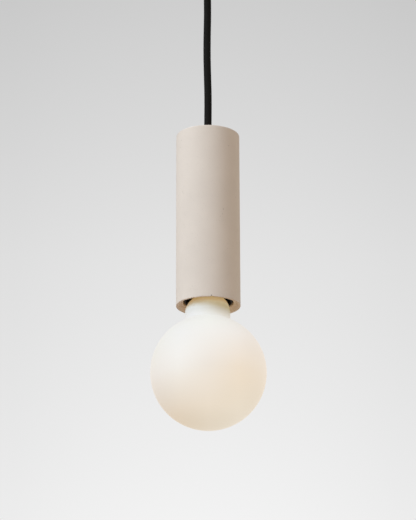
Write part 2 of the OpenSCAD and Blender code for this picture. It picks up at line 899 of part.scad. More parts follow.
// Half outline of the glass at a depth t under its outer face, from the bottom up
function glass_line(t) =
    let (
        r = globe_r - t,
        n = neck_r - t,
        join = asin(n / r),
        end = acos((collar_r - t - (n - shoulder_run)) / shoulder_run)
    )
    concat(
        arc(0, globe_z, r, -90, 90 - join, 48),
        [for (i = [0:12]) let (a = end * i / 12)
            [n - shoulder_run * (1 - cos(a)), shoulder_z0 + shoulder_rise * sin(a)]],
        [[collar_r - t, cap_rim_z + 2.2]]
    );

module bulb_glass() {
    color(OPAL)
        rotate_extrude($fn = 120)
            polygon(concat(glass_line(0), reversed(glass_line(glass_t))));
}

module bulb_cap() {
    mid = cap_r - thread_amp;
    outer = rounded_thread(mid, thread_amp, cap_thread_z, cap_pitch, cap_turns);
    inner = [for (p = outer) [p[0] - cap_sheet, p[1]]];
    end_r = cap_r - 1.7;
    end_z = cap_thread_top_z + 1;
    color(STEEL)
        rotate_extrude()
            polygon(concat(
                [[cap_r - cap_sheet, cap_rim_z], [cap_r, cap_rim_z]],
                outer,
                [[end_r, end_z], [end_r - cap_sheet, end_z - 0.3]],
                reversed(inner)
            ));
}

module bulb_cap_insulator() {
    rim_r = cap_r - 2.1;
    rim_z0 = cap_thread_top_z + 0.3;
    top = tip_z - tip_t + 0.4;
    color(BLACK)
        rotate_extrude()
            polygon([[0, rim_z0], [rim_r, rim_z0], [rim_r, rim_z0 + 1], [tip_r + 0.8, top],
                     [tip_r + 0.05, top], [tip_r + 0.05, top - 0.4], [0, top - 0.4]]);
}

module bulb_tip() {
    low = tip_z - tip_t;
    color(BRASS)
        rotate_extrude()
            polygon([[0, low], [tip_r, low], [tip_r, tip_z - 1], [tip_r - 1, tip_z - 0.2],
                     [tip_r - 2.5, tip_z], [0, tip_z]]);
}

// The glass mount inside the neck
module bulb_stem() {
    flare_r = collar_r - glass_t - 0.2;
    wall = 1.4;
    top = bulb_stem_top_z;
    waist_z = top - bulb_flare_h;
    pinch_z = top - bulb_pinch_h;
    color(OPAL)
        rotate_extrude()
            polygon([[flare_r, top], [flare_r - 1, top], [flare_r * 0.55, waist_z],
                     [bulb_rod_r, pinch_z], [0, pinch_z - 0.5], [0, bulb_rod_z],
                     [bulb_rod_r, bulb_rod_z], [bulb_rod_r, pinch_z - 7], [bulb_rod_r + wall, pinch_z - 1],
                     [flare_r * 0.55 + wall, waist_z], [flare_r, top - 1]]);
}

function filament_point(a, p) = [p[0] * cos(a), p[0] * sin(a), mouth_z + p[1]];

module light_filaments() {
    color([0.95, 0.75, 0.3])
        for (a = [45:90:315])
            rod(filament_point(a, filament_top), filament_point(a, filament_low), filament_d / 2);
}

// Wires from the glass mount to the filaments, and a star that joins their far ends
module filament_wires() {
    hub_h = 1.6;
    tip_gap = 0.1;
    star_z = mouth_z + filament_low[1] - 3;
    color(STEEL) {
        translate([0, 0, bulb_rod_z - hub_h])
            cylinder(h = hub_h, r = 1.6);
        for (a = [45:90:315]) {
            rod([0, 0, bulb_rod_z - hub_h / 2],
                filament_point(a, filament_top) + [0, 0, filament_d / 2 + tip_gap], wire_r);
            rod([0, 0, star_z],
                filament_point(a, filament_low) - [0, 0, filament_d / 2 + tip_gap], wire_r);
        }
        translate([0, 0, star_z - 0.6])
            cylinder(h = 1.2, r = 1.2);
    }
}

module driver_board() {
    half = cap_r - 2 * thread_amp - cap_sheet - 0.25;
    low = cap_thread_z + 0.5;
    color([0.15, 0.4, 0.25]) {
        translate([-half, -board_t / 2, low])
            cube([2 * half, board_t, board_h]);
        translate([-4, board_t / 2 + 3.2, low + 2])
            cylinder(h = 9, r = 3.2);
        translate([3, -board_t / 2 - 1.4, low + 5])
            cube([5, 1.4, 4]);
    }
}

ceiling_bracket();
canopy();
canopy_screws();
terminal_block();
terminal_inserts();
terminal_screws();
terminal_block_screws();
earth_screw();
earth_washer();
earth_lead();
upper_live_lead();
upper_neutral_lead();
cord_grip();
cord_grip_nut();
cord_grip_screw();
cord_end();
cord_bend();
cord();
top_bush();
stone_tube();
rubber_washer();
steel_washer();
stem_nut();
hollow_stem();
cord_stop();
cord_stop_screw();
holder_lock_nut();
holder_lock_screw();
lampholder_cap();
lampholder_skirt();
holder_insulator();
screw_shell();
shell_rivets();
centre_contact();
holder_terminals();
holder_terminal_screws();
lower_live_lead();
lower_neutral_lead();
bulb_glass();
bulb_cap();
bulb_cap_insulator();
bulb_tip();
bulb_stem();
light_filaments();
filament_wires();
driver_board();
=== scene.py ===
"""Pendant ceiling light: a cast stone tube with an opal globe bulb on a black textile cord.

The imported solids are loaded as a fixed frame. This script adds the braided cord, the cast tube,
the blown glass and the smaller trim, gives every surface its finish, and sets up the studio.
All lengths are in metres, +Z is up, and the ceiling is at z = 0.
"""

import logging
import math
from collections.abc import Callable, Sequence
from dataclasses import dataclass
from enum import Enum

import bpy
import numpy as np
from mathutils import Matrix, Vector, noise


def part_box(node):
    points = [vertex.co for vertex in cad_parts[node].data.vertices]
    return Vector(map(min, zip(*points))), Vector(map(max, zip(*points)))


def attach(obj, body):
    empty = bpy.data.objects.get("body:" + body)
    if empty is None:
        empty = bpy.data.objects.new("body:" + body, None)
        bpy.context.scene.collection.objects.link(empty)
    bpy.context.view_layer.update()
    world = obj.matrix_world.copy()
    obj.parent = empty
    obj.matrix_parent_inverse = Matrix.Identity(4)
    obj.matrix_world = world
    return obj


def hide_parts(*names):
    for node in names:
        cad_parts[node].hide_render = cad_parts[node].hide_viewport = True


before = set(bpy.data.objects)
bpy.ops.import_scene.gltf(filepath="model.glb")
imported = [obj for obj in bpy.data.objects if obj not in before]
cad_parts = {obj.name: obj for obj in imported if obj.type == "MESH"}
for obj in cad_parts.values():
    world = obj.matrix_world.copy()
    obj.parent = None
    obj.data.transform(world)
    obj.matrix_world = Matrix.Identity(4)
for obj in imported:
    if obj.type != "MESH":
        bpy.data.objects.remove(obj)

LOG = logging.getLogger("pendant")
MM = 0.001
CREASE = math.radians(40)
Colour = tuple[float, float, float]
Profile = list[tuple[float, float]]


class Body(str, Enum):
    """The moving bodies that the modelled pieces ride on."""

    LAMP = "hanging_lamp"
    BULB = "bulb"


# Node trees --------------------------------------------------------------------------------

Socket = bpy.types.NodeSocket


class Graph:
    """A node tree, put together one node at a time.

    A colour or a value is handed on as the output socket that gives it.
    """

    def __init__(self, tree: bpy.types.NodeTree) -> None:
        """Empties a tree and starts anew."""
        self.tree = tree
        tree.nodes.clear()

    def feed(self, node: bpy.types.Node, values: dict[str | int, object]) -> None:
        """Sets or links a node's inputs.

        Args:
            node: The node.
            values: What each input takes, by name or index: an output socket or a value.
        """
        for name, value in values.items():
            socket = node.inputs[name]
            if isinstance(value, Socket):
                self.tree.links.new(value, socket)
            else:
                socket.default_value = (*value, 1) if socket.type == "RGBA" else value

    def node(self, kind: str, values: dict[str | int, object] | None = None,
             **settings: object) -> bpy.types.Node:
        """Adds a node.

        Args:
            kind: The node's type name after `ShaderNode`.
            values: What each input takes, by name or index: an output socket or a value.
            **settings: The node's own properties.

        Returns:
            The new node.
        """
        made = self.tree.nodes.new(f"ShaderNode{kind}")
        for name, value in settings.items():
            setattr(made, name, value)
        self.feed(made, values or {})
        return made

    def math(self, operation: str, a: Socket, b: Socket | float = 0.5) -> Socket:
        """Works out one value from one or two."""
        return self.node("Math", {0: a, 1: b}, operation=operation).outputs[0]

    def sum(self, a: Socket, b: Socket, share: float) -> Socket:
        """Adds a share of b to a."""
        return self.node("Math", {0: b, 1: share, 2: a}, operation="MULTIPLY_ADD").outputs[0]

    def mix(self, a: Socket | Colour, b: Socket | Colour, share: Socket | float,
            blend: str = "MIX") -> Socket:
        """Lays colour b over colour a by a share from 0 to 1."""
        values = {0: share, 6: a, 7: b}
        return self.node("Mix", values, data_type="RGBA", blend_type=blend).outputs[2]

    def tinted(self, a: Socket, b: Socket) -> Socket:
        """Multiplies two colours."""
        return self.mix(a, b, 1.0, "MULTIPLY")

    def span(self, source: Socket, low: float, high: float, to_low: float,
             to_high: float) -> Socket:
        """Maps a value that runs from low to high to the range from to_low to to_high."""
        return self.node("MapRange", {"Value": source, "From Min": low, "From Max": high,
                                      "To Min": to_low, "To Max": to_high}).outputs["Result"]

    def bands(self, source: Socket, stops: Sequence[tuple[float, Colour]]) -> Socket:
        """Turns a value into a ramp through several colours.

        Args:
            source: The value.
            stops: Each place from 0 to 1 with its colour.

        Returns:
            The colour.
        """
        made = self.node("ValToRGB", {"Fac": source})
        elements = made.color_ramp.elements
        while len(elements) < len(stops):
            elements.new(0.5)
        for element, (position, colour) in zip(elements, stops):
            element.position, element.color = position, (*colour, 1)
        return made.outputs["Color"]

    def ramp(self, source: Socket, low: float, high: float, dark: Colour,
             light: Colour) -> Socket:
        """Turns a value into a ramp from dark, at low, to light, at high."""
        return self.bands(source, ((low, dark), (high, light)))

    def seen(self) -> Socket:
        """Tells the rays that show a surface from those that light the object by it.

        Returns:
            1 for camera, glossy and transmission rays, and 0 for the others.
        """
        path = self.node("LightPath").outputs
        total: Socket | float = 0.0
        for ray in ("Is Camera Ray", "Is Glossy Ray", "Is Transmission Ray"):
            values = {0: path[ray], 1: total}
            total = self.node("Math", values, operation="ADD", use_clamp=True).outputs[0]
        return total


class Surface(Graph):
    """A material's tree: its Principled shader, and patterns on the piece's own coordinates."""

    def __init__(self, name: str) -> None:
        """Starts a material that holds a Principled shader and its output.

        Args:
            name: The material's name.
        """
        self.material = bpy.data.materials.new(name)
        self.material.use_nodes = True
        super().__init__(self.material.node_tree)
        self.shader = self.node("BsdfPrincipled")
        self.node("OutputMaterial", {"Surface": self.shader.outputs["BSDF"]})
        self.place = self.node("TexCoord").outputs["Object"]

    def set(self, **values: Socket | float) -> None:
        """Sets or links the shader's own sockets; underscores in a name stand for spaces."""
        self.feed(self.shader, {name.replace("_", " "): v for name, v in values.items()})

    def axes(self) -> bpy.types.NodeOutputs:
        """Splits the piece's own coordinates into X, Y and Z."""
        return self.node("SeparateXYZ", {0: self.place}).outputs

    def grain(self, scale: float, detail: float = 3, rough: float = 0.55,
              stretch: Colour = (1, 1, 1)) -> Socket:
        """Adds a noise on the piece's own coordinates.

        Args:
            scale: Features per metre.
            detail: Octaves of the noise.
            rough: How strong the finer octaves are.
            stretch: Scale along each axis.

        Returns:
            The noise's value.
        """
        where = self.place
        if stretch != (1, 1, 1):
            where = self.node("Mapping", {"Vector": where, "Scale": stretch}).outputs[0]
        return self.node("TexNoise", {"Vector": where, "Scale": scale, "Detail": detail,
                                      "Roughness": rough}).outputs["Fac"]

    def holes(self, scale: float, edge: tuple[float, float], depth: float, patches: float,
              share: tuple[float, float]) -> Socket:
        """Adds round holes of one scale that show in patches only.

        Args:
            scale: Cells per metre, each with one hole.
            edge: Where a hole's wall starts and ends, as shares of its cell.
            depth: The value in a hole's middle.
            patches: Patches per metre.
            share: The noise values where a patch starts and where it is full.

        Returns:
            A value that is 0 beside the holes.
        """
        cells = self.node("TexVoronoi", {"Vector": self.place, "Scale": scale,
                                         "Randomness": 1.0}, feature="F1")
        dots = self.span(cells.outputs["Distance"], *edge, depth, 0)
        return self.math("MULTIPLY", dots, self.span(self.grain(patches, 2), *share, 0, 1))

    def bump(self, source: Socket, depth: float) -> None:
        """Sets the shader's normal from a height of 0 to 1 that stands for a depth in metres."""
        made = self.node("Bump", {"Height": source, "Distance": depth, "Strength": 1.0})
        self.set(Normal=made.outputs["Normal"])


def toned(colour: Colour, factor: float) -> Colour:
    """A colour made darker or lighter by a factor, at most 1."""
    return tuple(min(1, c * factor) for c in colour)


# Finishes ----------------------------------------------------------------------------------


@dataclass(frozen=True)
class Finish:
    """What one material looks like. Each kind of finish lays its own nodes.

    In all of them, patterns are counted per metre and `relief` is a depth in metres.
    """

    name: str
    colour: Colour
    roughness: float = 0.5

    def build(self) -> bpy.types.Material:
        """Makes the material.

        Returns:
            The finished material.
        """
        g = Surface(self.name)
        g.set(Roughness=self.roughness)
        self.lay(g)
        return g.material

    def lay(self, g: Surface) -> None:
        """Lays the finish's own nodes on its surface."""
        raise NotImplementedError

    def shades(self, dark: float, light: float) -> tuple[Colour, Colour]:
        """The finish's colour made darker and lighter by two factors."""
        return toned(self.colour, dark), toned(self.colour, light)

    def uneven(self, g: Surface, source: Socket, less: float, more: float) -> Socket:
        """The finish's roughness, which wanders down and up with a noise."""
        return g.span(source, 0.3, 0.7, self.roughness - less, self.roughness + more)


@dataclass(frozen=True)
class CastStone(Finish):
    """Pale, dry cast stone with a sandy grain, faint clouds and a few open pores.

    Inside the mouth the stone takes a warm tint that is painted light from the lit glass. The
    fields `reach` and `under` are the depths over which that painted light comes in, inwards
    from the rim and up from the lowest edge, and `lit` are the heights in the bore between which
    it dies away. The chip at the mouth's front is painted dark, a painted shade in its hollow;
    its place along and over the edge, and its size, are in `nick`. The pores are painted darker,
    a painted shade in their hollows. A pore takes up `pore_share` of the cell that it lies in.
    """

    cloud: float = 0.03
    sand: float = 1500.0
    clouds: float = 38.0
    pits: float = 620.0
    pitting: float = 0.5
    pore_size: float = 0.0008
    pore_share: float = 0.22
    # how dark the pores are painted: a painted shade in them
    pore_shade_tone: float = 0.72
    pore_depth: float = 1.6
    relief: float = 0.00022
    # how dark the chip is painted: a painted shade in its hollow
    chip_shade_tone: float = 0.16
    shine: float = 0.25
    # painted warm light from the lit glass, laid on the stone inside the mouth
    warm: Colour = (1.0, 0.88, 0.77)
    rim: float = 0.0004
    reach: float = 0.0012
    lit: tuple[float, float] = (0.012, 0.004)
    under: tuple[float, float] = (0.0005, 0.0001)
    nick: tuple[float, float, float] = (0.0026, 0.0009, 0.0006)

    def inside(self, g: Surface) -> Socket:
        """Paints warm light from the lit glass on the stone within the mouth, and leaves the
        outside as it is.

        Args:
            g: The stone's surface.

        Returns:
            The painted light's tint.
        """
        low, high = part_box("stone_tube")
        edge = high.x - self.rim
        axes = g.axes()
        flat = g.node("CombineXYZ", {"X": axes["X"], "Y": axes["Y"]}).outputs[0]
        distance = g.node("VectorMath", {0: flat}, operation="LENGTH").outputs["Value"]
        within = g.span(distance, edge, edge - self.reach, 0, 1)
        below, under = (g.span(axes["Z"], low.z + a, low.z + b, 0, 1)
                        for a, b in (self.lit, self.under))
        most = g.math("MAXIMUM", g.math("MULTIPLY", within, below), under)
        return g.ramp(most, 0, 1, (1, 1, 1), self.warm)

    def pores(self, g: Surface) -> Socket:
        """Opens the stone: a few large pores and patches of fine pits.

        Args:
            g: The stone's surface.

        Returns:
            How open the stone is.
        """
        large = g.holes(self.pore_share / self.pore_size, (0.10, 0.17), 1, 60, (0.60, 0.68))
        small = g.holes(self.pits, (0.08, 0.20), self.pitting, 150, (0.48, 0.60))
        return g.math("MAXIMUM", large, small)

    def chip(self, g: Surface) -> Socket:
        """Places the chip's painted shade at the mouth's front.

        Args:
            g: The stone's surface.

        Returns:
            A value that is 1 on the chip and 0 beside it.
        """
        low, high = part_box("stone_tube")
        along, over, size = self.nick
        place = (along, -math.sqrt(high.x ** 2 - along ** 2), low.z + over)
        far = g.node("VectorMath", {0: g.place, 1: place}, operation="DISTANCE")
        return g.span(far.outputs["Value"], size * 0.5, size, 1, 0)

    def lay(self, g: Surface) -> None:
        """Lays the stone's tone, grain, pores, painted shade and painted light.

        Args:
            g: The stone's surface.
        """
        sand = g.grain(self.sand, 3, 0.6)
        mixed = g.sum(g.grain(self.clouds, 4, 0.6), sand, 0.35)
        tone = g.ramp(mixed, 0.45, 0.95, *self.shades(1 - self.cloud, 1 + self.cloud))
        pores = self.pores(g)
        # painted shade: darker colours for the pores and for the chip's hollow
        hollow, chipped = self.shades(self.pore_shade_tone, self.chip_shade_tone)
        chip_shaded = g.mix(g.mix(tone, hollow, pores), chipped, self.chip(g))
        g.bump(g.sum(mixed, pores, -self.pore_depth), self.relief)
        # the stone's colour is multiplied here by the painted warm light inside the mouth
        g.set(Base_Color=g.tinted(chip_shaded, self.inside(g)), Specular_IOR_Level=self.shine,
              Roughness=self.uneven(g, sand, 0.06, 0.06))


@dataclass(frozen=True)
class Cloth(Finish):
    """Black textile, whose fuzz and yarns darken and raise it.

    `share` is how strong the yarns are beside the fuzz. The colour runs from `dark` times the
    colour in the low places between the yarns up to the full colour on their crowns: a painted
    shade between the yarns, with the fuzz adding a tone that differs at random.
    """

    shine: float = 0.04
    fuzz: float = 5200.0
    # how dark the painted shade between the yarns is
    dark: float = 0.45
    share: float = 0.22
    relief: float = 0.00007

    def weave(self, g: Surface, wave: Socket) -> None:
        """Finishes the cloth from the height of its yarns.

        Args:
            g: The cloth's surface.
            wave: The yarns' height.
        """
        fuzz = g.grain(self.fuzz, 2)
        both = g.sum(fuzz, wave, self.share)
        g.bump(both, self.relief)
        # painted shade: the low places between the yarns get the darker colour
        g.set(Base_Color=g.ramp(both, 0.2, 0.8, *self.shades(self.dark, 1)),
              Roughness=self.uneven(g, fuzz, 0.08, 0.08), Specular_IOR_Level=self.shine)


@dataclass(frozen=True)
class Textile(Cloth):
    """Braided yarn. The braid's own attribute gives the place across each strand."""

    yarns: int = 4

    def lay(self, g: Surface) -> None:
        """Lays the yarns on a piece that carries the `strand` attribute.

        Args:
            g: The cloth's surface.
        """
        strand = g.node("Attribute", attribute_name="strand").outputs["Fac"]
        turn = g.math("MULTIPLY", strand, 2 * math.pi * self.yarns)
        self.weave(g, g.math("SINE", turn))


@dataclass(frozen=True)
class WovenCloth(Cloth):
    """The same braid on a plain round stretch of cord, drawn from its own coordinates."""

    share: float = 0.3
    relief: float = 0.00018
    strands: int = 12
    pitch: float = 0.0021

    def lay(self, g: Surface) -> None:
        """Lays the strands on an upright stretch of cord.

        Args:
            g: The cloth's surface.
        """
        turn = g.node("TexGradient", {"Vector": g.place}, gradient_type="RADIAL").outputs["Fac"]
        girth = g.math("MULTIPLY", turn, 2 * math.pi * self.strands)
        rise = g.math("MULTIPLY", g.axes()["Z"], 2 * math.pi / self.pitch)
        one, two = (g.math("COSINE", g.math(way, girth, rise)) for way in ("ADD", "SUBTRACT"))
        self.weave(g, g.math("MULTIPLY", one, two))


@dataclass(frozen=True)
class PowderCoat(Finish):
    """Fine textured paint on sheet steel, with a little dust and an orange peel."""

    dust: float = 22.0
    dusty: float = 1.35
    peel: float = 1400.0
    relief: float = 0.00009
    shine: float = 0.22

    def lay(self, g: Surface) -> None:
        """Lays the paint's dust and peel.

        Args:
            g: The paint's surface.
        """
        dust = g.grain(self.dust, 4, 0.6)
        g.bump(g.grain(self.peel, 2, 0.5), self.relief)
        g.set(Base_Color=g.ramp(dust, 0.35, 0.7, *self.shades(1, self.dusty)),
              Roughness=self.uneven(g, dust, 0.05, 0.07), Specular_IOR_Level=self.shine)


@dataclass(frozen=True)
class Moulded(Finish):
    """Moulded plastic, phenolic or rubber, with a faint uneven sheen."""

    relief: float = 0.00003
    coat: float = 0.0
    shine: float = 0.5
    coat_roughness: float = 0.18
    flow: float = 90.0
    fine: float = 2200.0

    def lay(self, g: Surface) -> None:
        """Lays the moulding's sheen.

        Args:
            g: The moulding's surface.
        """
        flow = g.grain(self.flow, 4, 0.6)
        g.bump(g.grain(self.fine, 2, 0.5), self.relief)
        g.set(Base_Color=g.ramp(flow, 0.3, 0.75, *self.shades(0.82, 1.12)),
              Roughness=self.uneven(g, flow, min(0.06, self.roughness - 0.05), 0.06),
              Specular_IOR_Level=self.shine)
        if self.coat:
            g.set(Coat_Weight=self.coat, Coat_Roughness=self.coat_roughness)


@dataclass(frozen=True)
class Metal(Finish):
    """Plated, turned or pressed metal with fine tool marks, drawn out round the axis."""

    relief: float = 0.00002
    tarnish: float = 0.2
    film: float = 120.0
    marks: float = 420.0
    drawn: float = 9.0

    def lay(self, g: Surface) -> None:
        """Lays the metal's film and tool marks.

        Args:
            g: The metal's surface.
        """
        film = g.grain(self.film, 4, 0.65)
        g.bump(g.grain(self.marks, 3, 0.6, (1, 1, self.drawn)), self.relief)
        g.set(Base_Color=g.ramp(film, 0.3, 0.75, *self.shades(1 - self.tarnish, 1)), Metallic=1.0,
              Roughness=g.span(film, 0.3, 0.75, self.roughness + 0.1, self.roughness - 0.04))


@dataclass(frozen=True)
class Porcelain(Finish):
    """Dense unglazed ceramic with sparse iron specks."""

    speck: Colour = (0.25, 0.17, 0.1)
    clouds: float = 150.0
    specks: float = 1900.0
    relief: float = 0.00002

    def lay(self, g: Surface) -> None:
        """Lays the ceramic's tone and specks.

        Args:
            g: The ceramic's surface.
        """
        body = g.grain(self.clouds, 4, 0.6)
        specks = g.grain(self.specks, 1, 0.4)
        tone = g.ramp(body, 0.3, 0.75, *self.shades(0.93, 1))
        g.bump(specks, self.relief)
        g.set(Base_Color=g.mix(tone, self.speck, g.span(specks, 0.74, 0.80, 0, 0.5)),
              Roughness=self.uneven(g, body, 0.06, 0.06))


@dataclass(frozen=True)
class Insulation(Finish):
    """Smooth wire insulation, plain or with a stripe of a second colour."""

    stripe: Colour | None = None
    stripes: float = 150.0
    flow: float = 350.0
    relief: float = 0.00002

    def lay(self, g: Surface) -> None:
        """Lays the insulation's colour and stripe.

        Args:
            g: The insulation's surface.
        """
        flow = g.grain(self.flow, 2, 0.5)
        tone = g.ramp(flow, 0.3, 0.7, *self.shades(0.8, 1))
        if self.stripe:
            bands = g.node("TexWave", {"Vector": g.place, "Scale": self.stripes,
                                       "Distortion": 0.6}, bands_direction="DIAGONAL")
            tone = g.mix(tone, self.stripe, g.span(bands.outputs["Fac"], 0.62, 0.66, 0, 1))
        g.bump(flow, self.relief)
        g.set(Base_Color=tone, Roughness=self.uneven(g, flow, 0.05, 0.05))


@dataclass(frozen=True)
class OpalGlass(Finish):
    """White opal glass, lit from inside by a dim warm light.

    Opal glass scatters a little blue and lets the warm light through. The glow is even over the
    globe and dies away up the neck, where the coat is denser and the cap swallows the light.
    Each zone is a height over the tube's mouth in mm, the coat's own colour, and the glow. The
    zones are set to the studio's lighting, so at the neck, in the tube's mouth, the coat and the
    glow also hold painted light and shade. The glow carries painted shading from side to side,
    lowest on the left, where the key light falls: each of `painted_side_shades` is a height and
    the glow's tints from left to right over `reach` either way. The neck's side that faces away
    from the
    key light gets a painted shade: `shade_side` gives its tint from left to right, and
    `shade_rise` at which heights it shows.
    """

    # coat and glow by height; at the neck, in the tube's mouth, they also hold painted light and
    # shade
    zones: tuple[tuple[float, Colour, Colour], ...] = (
        (-106, (0.24, 0.31, 0.38), (0.630, 0.526, 0.403)),
        (-92, (0.24, 0.31, 0.38), (0.697, 0.571, 0.432)),
        (-72, (0.24, 0.31, 0.38), (0.716, 0.584, 0.437)),
        (-55, (0.24, 0.31, 0.38), (0.705, 0.588, 0.456)),
        (-31, (0.24, 0.31, 0.38), (0.659, 0.566, 0.450)),
        (-22, (0.24, 0.31, 0.38), (0.639, 0.557, 0.439)),
        (-15, (0.25, 0.32, 0.40), (0.592, 0.518, 0.408)),
        (-11, (0.31, 0.39, 0.50), (0.538, 0.450, 0.320)),
        (-7, (0.47, 0.57, 0.67), (0.302, 0.218, 0.106)),
        (-3, (0.52, 0.66, 0.78), (0.287, 0.186, 0.058)),
        (-1, (0.50, 0.65, 0.75), (0.388, 0.280, 0.143)),
        (1, (0.45, 0.60, 0.70), (0.418, 0.262, 0.115)),
        (8, (0.45, 0.60, 0.70), (0.437, 0.254, 0.052)))
    reach: float = 0.0475
    # painted shading of the glow from left to right, lowest on the key light's side
    painted_side_shades: tuple[tuple[float, tuple[Colour, ...]], ...] = (
        (-94, ((0.765, 0.736, 0.696), (0.929, 0.920, 0.905), (1.022, 1.056, 1.115),
               (1.001, 1.048, 1.119), (0.866, 0.899, 0.931))),
        (-64, ((0.848, 0.846, 0.867), (0.939, 0.993, 1.073), (0.936, 0.956, 1.000),
               (1.000, 0.990, 0.983), (0.952, 0.954, 0.975))),
        (-34, ((0.840, 0.833, 0.764), (0.908, 0.928, 0.969), (0.987, 1.014, 1.066),
               (1.028, 1.055, 1.149), (0.998, 0.996, 1.043))),
        (-4, ((0.848, 0.846, 0.787), (0.884, 0.838, 0.836), (1.012, 1.075, 1.113),
               (0.936, 0.974, 1.084), (1.022, 1.009, 1.036))))
    # painted shade on the neck's side that faces away from the key light
    shade_side: tuple[tuple[float, Colour], ...] = (
        (0.0, (1.0, 1.0, 1.0)), (0.5, (1.0, 0.99, 0.97)), (0.61, (0.90, 0.87, 0.78)),
        (0.70, (0.72, 0.74, 0.62)))
    shade_rise: tuple[tuple[float, float], ...] = ((-7.5, 0.0), (-4, 1.0), (-1, 1.0), (1.5, 0.2))
    milk: float = 14.0
    milky: float = 0.97
    waves: float = 32.0
    relief: float = 0.00008
    shine: float = 0.15

    def level(self, height: float) -> float:
        """Turns a height over the mouth in mm to its place from 0 to 1 over the zones."""
        low, high = self.zones[0][0], self.zones[-1][0]
        return (height - low) / (high - low)

    def shade(self, g: Surface, side: Socket, height: Socket) -> Socket:
        """Tints the neck's side that faces away from the key light.

        Args:
            g: The glass's surface.
            side: Runs from 0 to 1 from left to right.
            height: Runs from 0 to 1 over the zones.

        Returns:
            The tint.
        """
        tint = g.bands(side, self.shade_side)
        share = g.bands(height, [(self.level(z), (v, v, v)) for z, v in self.shade_rise])
        return g.mix((1, 1, 1), tint, share)

    def painted_side_shading(self, g: Surface, height: Socket, side: Socket, mouth: float) -> Socket:
        """Paints shading into the glow from side to side, blended between a few heights.

        Args:
            g: The glass's surface.
            height: The height in metres.
            side: Runs from 0 to 1 from left to right.
            mouth: Height of the tube's mouth.

        Returns:
            The tint of the glow's painted shading.
        """
        rows = [(z, g.bands(side, [(i / (len(row) - 1), tint) for i, tint in enumerate(row)]))
                for z, row in self.painted_side_shades]
        below, tint = rows[0]
        for above, row in rows[1:]:
            share = g.span(height, mouth + below * MM, mouth + above * MM, 0, 1)
            below, tint = above, g.mix(tint, row, share)
        return tint

    def lay(self, g: Surface) -> None:
        """Lays the coat, the glow, their painted light and shade, and the milky clouds.

        Args:
            g: The glass's surface.
        """
        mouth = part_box("stone_tube")[0].z
        axes = g.axes()
        low, high = (mouth + zone[0] * MM for zone in (self.zones[0], self.zones[-1]))
        height = g.span(axes["Z"], low, high, 0, 1)
        coat, glow = (g.bands(height, [(self.level(z[0]), z[k]) for z in self.zones])
                      for k in (1, 2))
        side = g.span(axes["X"], -self.reach, self.reach, 0, 1)
        milk = g.grain(self.milk, 3, 0.5)
        clouded = g.tinted(coat, g.ramp(milk, 0.3, 0.75, (self.milky,) * 3, (1, 1, 1)))
        g.bump(g.grain(self.waves, 2, 0.4), self.relief)
        # the coat takes the painted neck shade and the glow the painted side shading
        g.set(Base_Color=g.tinted(clouded, self.shade(g, side, height)),
              Roughness=self.uneven(g, milk, 0.03, 0.03),
              Emission_Color=g.tinted(glow, self.painted_side_shading(g, axes["Z"], side, mouth)),
              Emission_Strength=1.0, Specular_IOR_Level=self.shine)


@dataclass(frozen=True)
class ClearGlass(Finish):
    """Clear glass with fine lines, drawn out up and down."""

    lines: float = 260.0
    drawn: float = 0.2
    relief: float = 0.00004
    bend: float = 1.5

    def lay(self, g: Surface) -> None:
        """Lays the drawn lines and lets the light through.

        Args:
            g: The glass's surface.
        """
        lines = g.grain(self.lines, 2, 0.5, (1, 1, self.drawn))
        g.bump(lines, self.relief)
        g.set(Base_Color=g.ramp(lines, 0.3, 0.7, *self.shades(0.96, 1)),
              Transmission_Weight=1.0, IOR=self.bend)


@dataclass(frozen=True)
class CircuitBoard(Finish):
    """Green lacquered board with fine copper tracks."""

    track: Colour = (0.30, 0.36, 0.10)
    tracks: float = 260.0
    width: float = 0.06
    relief: float = 0.00006

    def lay(self, g: Surface) -> None:
        """Lays the lacquer and the tracks.

        Args:
            g: The board's surface.
        """
        turned = g.node("Mapping", {"Vector": g.place, "Rotation": (math.pi / 2, 0, 0)})
        dark, light = self.shades(1, 1.25)
        tracks = g.node("TexBrick", {
            "Vector": turned.outputs[0], "Scale": self.tracks, "Mortar Size": self.width,
            "Color1": dark, "Color2": light, "Mortar": self.track}).outputs
        g.bump(tracks["Fac"], -self.relief)
        g.set(Base_Color=tracks["Color"])


@dataclass(frozen=True)
class Phosphor(Finish):
    """Grainy coating of a light filament."""

    glow: float = 1.2
    grains: float = 1300.0
    relief: float = 0.00008

    def lay(self, g: Surface) -> None:
        """Lays the coating's grain and glow.

        Args:
            g: The coating's surface.
        """
        grain = g.grain(self.grains, 3, 0.6)
        tone = g.ramp(grain, 0.3, 0.7, *self.shades(0.8, 1))
        g.bump(grain, self.relief)
        g.set(Base_Color=tone, Emission_Color=tone, Emission_Strength=self.glow)


@dataclass(frozen=True)
class Plain(Finish):
    """Pale matt floor with a trace of mottling, which throws back less light than it shows."""

    bounce: Colour = (0.26, 0.13, 0.03)
    mottles: float = 0.8
    mottled: float = 0.985

    def lay(self, g: Surface) -> None:
        """Lays the floor's paint and what it throws back."""
        tone = g.ramp(g.grain(self.mottles, 3, 0.5), 0.3, 0.7, *self.shades(self.mottled, 1))
        g.set(Base_Color=g.mix(self.bounce, tone, g.seen()))


STONE = CastStone("cast_stone", (0.715, 0.662, 0.608), 0.9)
BRAID = Textile("black_textile_braid", (0.0152, 0.0145, 0.0135), 0.6)
CLOTH = WovenCloth("black_textile", (0.0152, 0.0145, 0.0135), 0.6)
BLACK_PAINT = PowderCoat("black_powder_coat", (0.010, 0.0095, 0.009), 0.5)
PHENOLIC = Moulded("black_phenolic", (0.012, 0.011, 0.011), 0.32, 0.00002, 0.25)
